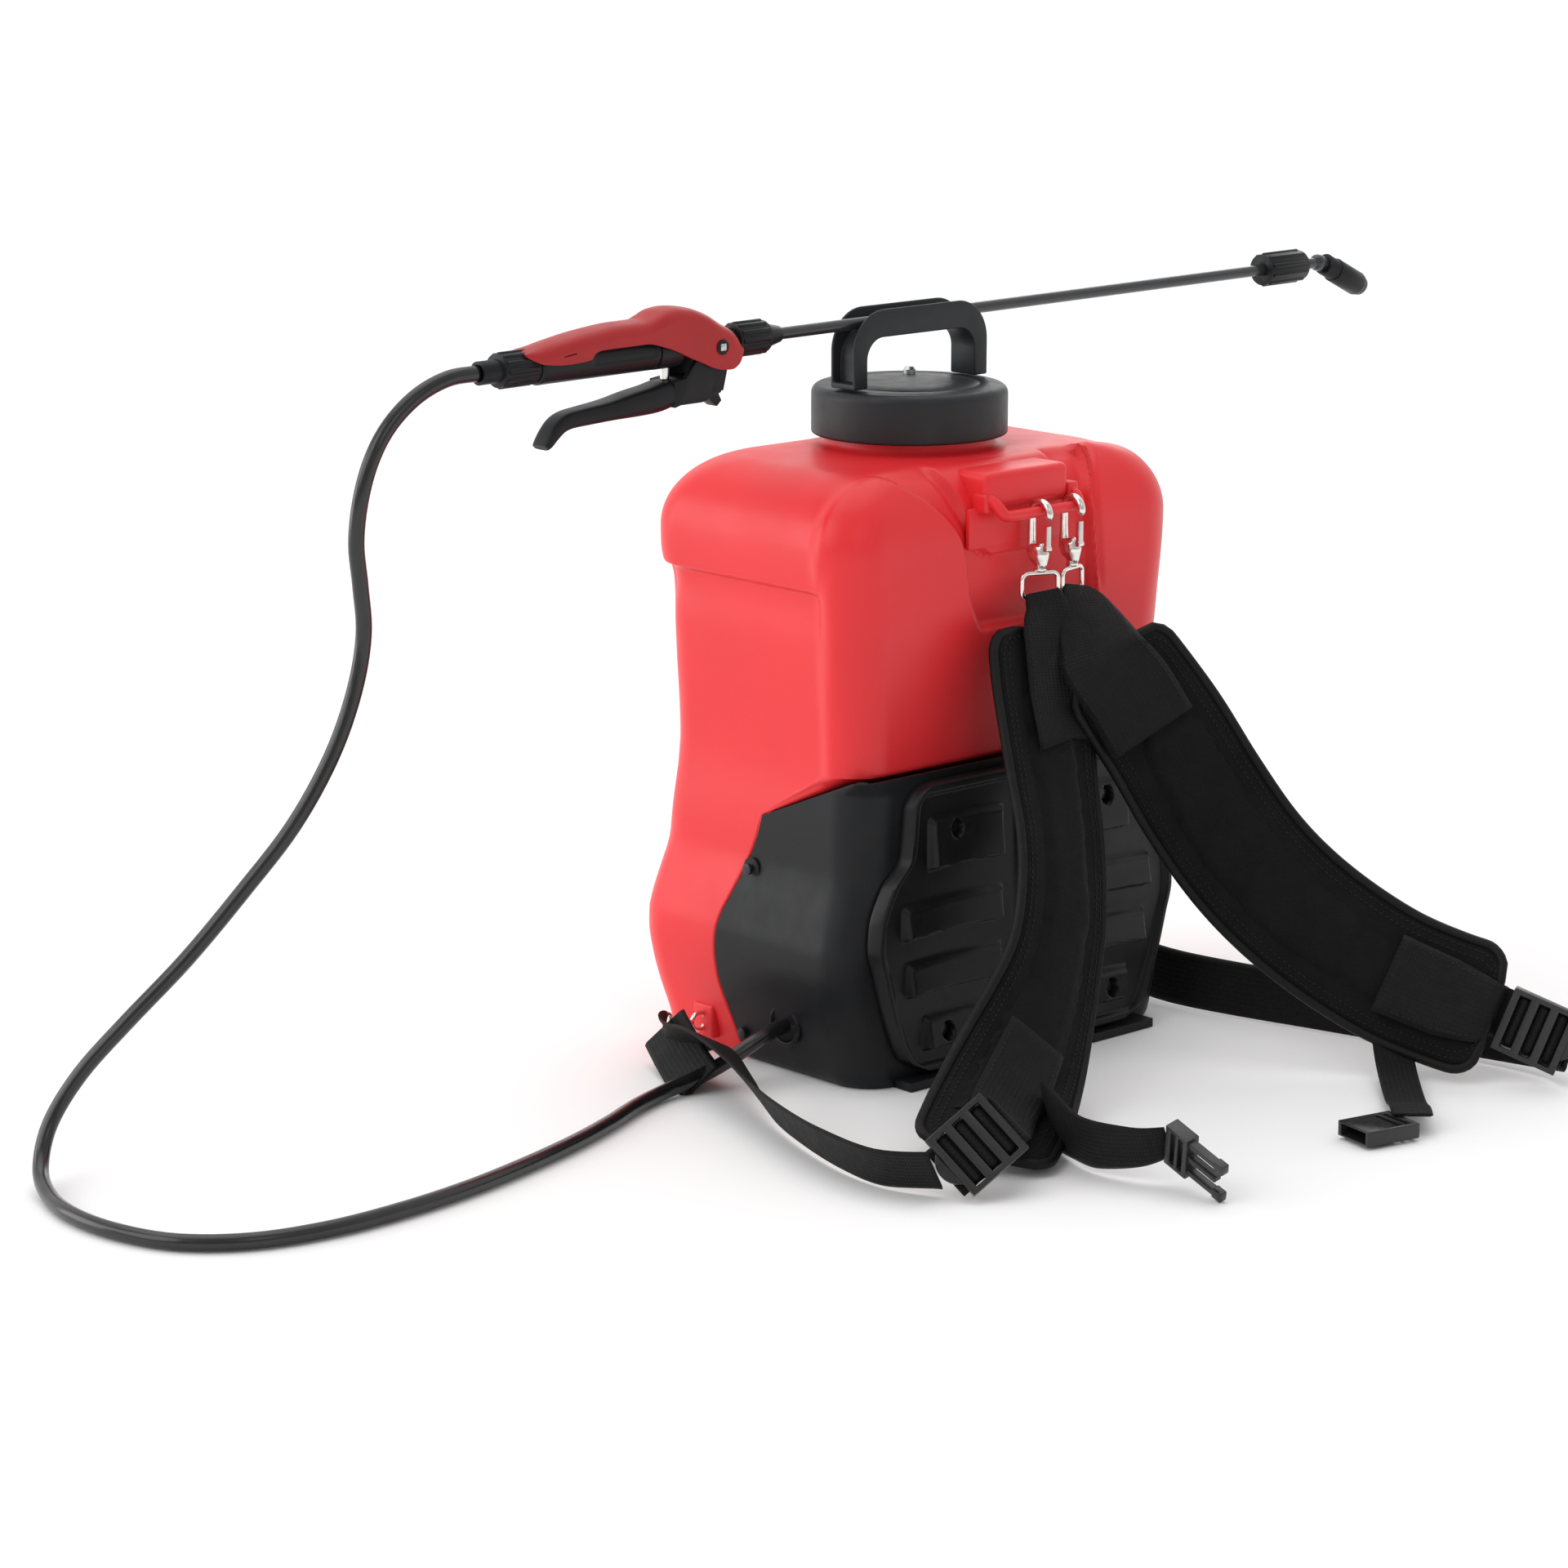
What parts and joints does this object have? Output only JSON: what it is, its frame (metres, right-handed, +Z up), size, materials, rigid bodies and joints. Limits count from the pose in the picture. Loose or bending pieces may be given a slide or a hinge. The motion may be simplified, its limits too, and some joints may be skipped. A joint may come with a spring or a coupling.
{
  "type": "knapsack sprayer",
  "caption": "Battery knapsack sprayer: blow-moulded tank on a pump and battery base, screw cap with lance handle, padded harness, hose, lever gun and straight lance.",
  "frame": {"origin": "centre of the tank's base on the ground", "axes": "+X along the stowed lance towards the nozzle, -Y towards the wearer's back, +Z up"},
  "size_m": [1.1638, 0.5448, 0.5244],
  "materials": {
    "red_plastic": "satin blow-moulded polyethylene",
    "black_plastic": "satin moulded polypropylene",
    "plate_foam": "fine-textured moulded back plate",
    "hose_rubber": "semi-gloss reinforced PVC hose",
    "pad_fabric": "padded nylon cloth",
    "webbing": "woven polypropylene webbing",
    "buckle_plastic": "glass-filled nylon",
    "nickel": "nickel plated steel",
    "screw_steel": "zinc plated",
    "lance_tube": "dark fibreglass tube",
    "brass": "turned brass",
    "gasket_rubber": "moulded rubber",
    "battery_case": "moulded ABS",
    "motor_can": "zinc plated can",
    "copper_core": "wound rotor with varnish",
    "board": "circuit board",
    "mesh_white": "moulded strainer",
    "vent_metal": "small turned valve"
  },
  "bodies": {
    "root": {"tank_shell": "red_plastic", "hanger_loop": "red_plastic", "base_cover": "black_plastic", "back_plate": "plate_foam", "cover_screws": "screw_steel", "plate_screws": "screw_steel", "base_feet": "black_plastic", "battery_pack": "battery_case", "pump_head": "black_plastic", "pump_motor": "motor_can", "control_board": "board", "tank_outlet": "black_plastic", "suction_strainer": "mesh_white", "suction_tube": "black_plastic", "delivery_tube": "black_plastic", "hose_outlet": "black_plastic", "switch_housing": "black_plastic", "charge_socket": "black_plastic", "filter_basket": "black_plastic", "hose_tube": "hose_rubber", "pad_a": "pad_fabric", "pad_b": "pad_fabric", "top_web_a": "webbing", "top_web_b": "webbing", "lower_web_a": "webbing", "lower_web_b": "webbing", "ladder_lock_a": "buckle_plastic", "ladder_lock_b": "buckle_plastic", "chest_web_a": "webbing", "chest_web_b": "webbing", "buckle_male": "buckle_plastic", "buckle_female": "buckle_plastic", "upper_hook_a": "nickel", "upper_hook_b": "nickel", "lower_hook_a": "nickel", "lower_hook_b": "nickel", "lower_anchors": "red_plastic"},
    "motor_rotor": {"motor_rotor": "copper_core"},
    "switch_rocker": {"switch_rocker": "red_plastic"},
    "gate_a": {"hook_gate_a": "nickel"},
    "gate_b": {"hook_gate_b": "nickel"},
    "cap": {"cap_lid": "black_plastic", "cap_handle": "black_plastic", "vent_valve": "vent_metal", "cap_gasket": "gasket_rubber"},
    "gun": {"gun_grip": "black_plastic", "gun_shell": "red_plastic", "lever_pin": "screw_steel", "valve_body": "black_plastic", "valve_spring": "nickel"},
    "lever": {"trigger_lever": "black_plastic"},
    "lever_lock": {"lever_lock": "black_plastic"},
    "valve_stem": {"valve_stem": "nickel"},
    "hose_nut": {"hose_nut": "black_plastic"},
    "lance_nut": {"lance_nut": "black_plastic"},
    "lance": {"lance_tube": "lance_tube", "nozzle_elbow": "lance_tube", "swirl_core": "brass"},
    "nozzle_nut": {"nozzle_nut": "black_plastic"},
    "nozzle_tip": {"nozzle_tip": "black_plastic"}
  },
  "joints": [
    {"name": "rotor_spin", "type": "hinge", "parent": "root", "child": "motor_rotor", "pos_m": [-0.092, -0.066, 0.1], "axis": [0, 0, 1], "continuous": true},
    {"name": "switch_rock", "type": "hinge", "parent": "root", "child": "switch_rocker", "pos_m": [0.158, -0.062, 0.062], "axis": [0, -1, 0], "range_deg": [0, 16]},
    {"name": "gate_a_swing", "type": "hinge", "parent": "root", "child": "gate_a", "pos_m": [0.006, -0.1275, 0.354], "axis": [-1, 0, 0], "range_deg": [0, 22], "stiffness_Nm_per_rad": 0.02, "springref_deg": -11.46},
    {"name": "gate_b_swing", "type": "hinge", "parent": "root", "child": "gate_b", "pos_m": [0.037, -0.1275, 0.354], "axis": [-1, 0, 0], "range_deg": [0, 22], "stiffness_Nm_per_rad": 0.02, "springref_deg": -11.46},
    {"name": "cap_turn", "type": "hinge", "parent": "root", "child": "cap", "pos_m": [0, 0, 0.42], "axis": [0, 0, 1], "range_deg": [-5, 5]},
    {"name": "lance_lift", "type": "slide", "parent": "root", "child": "gun", "axis": [0, 0, 1], "range_m": [0, 0.08], "deforming": ["hose_tube"]},
    {"name": "lever_squeeze", "type": "hinge", "parent": "gun", "child": "lever", "pos_m": [-0.18498, 0, 0.49619], "axis": [0, 1, 0], "range_deg": [0, 7.5], "stiffness_Nm_per_rad": 0.6, "springref_deg": -17.19},
    {"name": "lock_flip", "type": "hinge", "parent": "lever", "child": "lever_lock", "pos_m": [-0.18972, 0, 0.46914], "axis": [0, 1, 0], "range_deg": [-20, 10]},
    {"name": "stem_slide", "type": "slide", "parent": "gun", "child": "valve_stem", "axis": [-0.0098, 0, 1], "range_m": [0, 0.005], "deforming": ["valve_spring"]},
    {"name": "hose_nut_turn", "type": "hinge", "parent": "gun", "child": "hose_nut", "pos_m": [-0.34798, 0, 0.4956], "axis": [1, 0, 0.0098], "continuous": true},
    {"name": "lance_nut_turn", "type": "hinge", "parent": "gun", "child": "lance_nut", "pos_m": [-0.14499, 0, 0.49758], "axis": [1, 0, 0.0098], "continuous": true},
    {"name": "lance_turn", "type": "hinge", "parent": "gun", "child": "lance", "pos_m": [0, 0, 0.499], "axis": [1, 0, 0.0098], "continuous": true},
    {"name": "nozzle_nut_turn", "type": "hinge", "parent": "lance", "child": "nozzle_nut", "pos_m": [0.37798, 0, 0.50269], "axis": [1, 0, 0.0098], "continuous": true},
    {"name": "nozzle_turn", "type": "hinge", "parent": "lance", "child": "nozzle_tip", "pos_m": [0.42398, 0, 0.50314], "axis": [0.903, 0, -0.4296], "continuous": true}
  ],
  "couplings": [
    {"joint": "stem_slide", "follows": "lever_squeeze", "m_per_rad": 0.037}
  ]
}
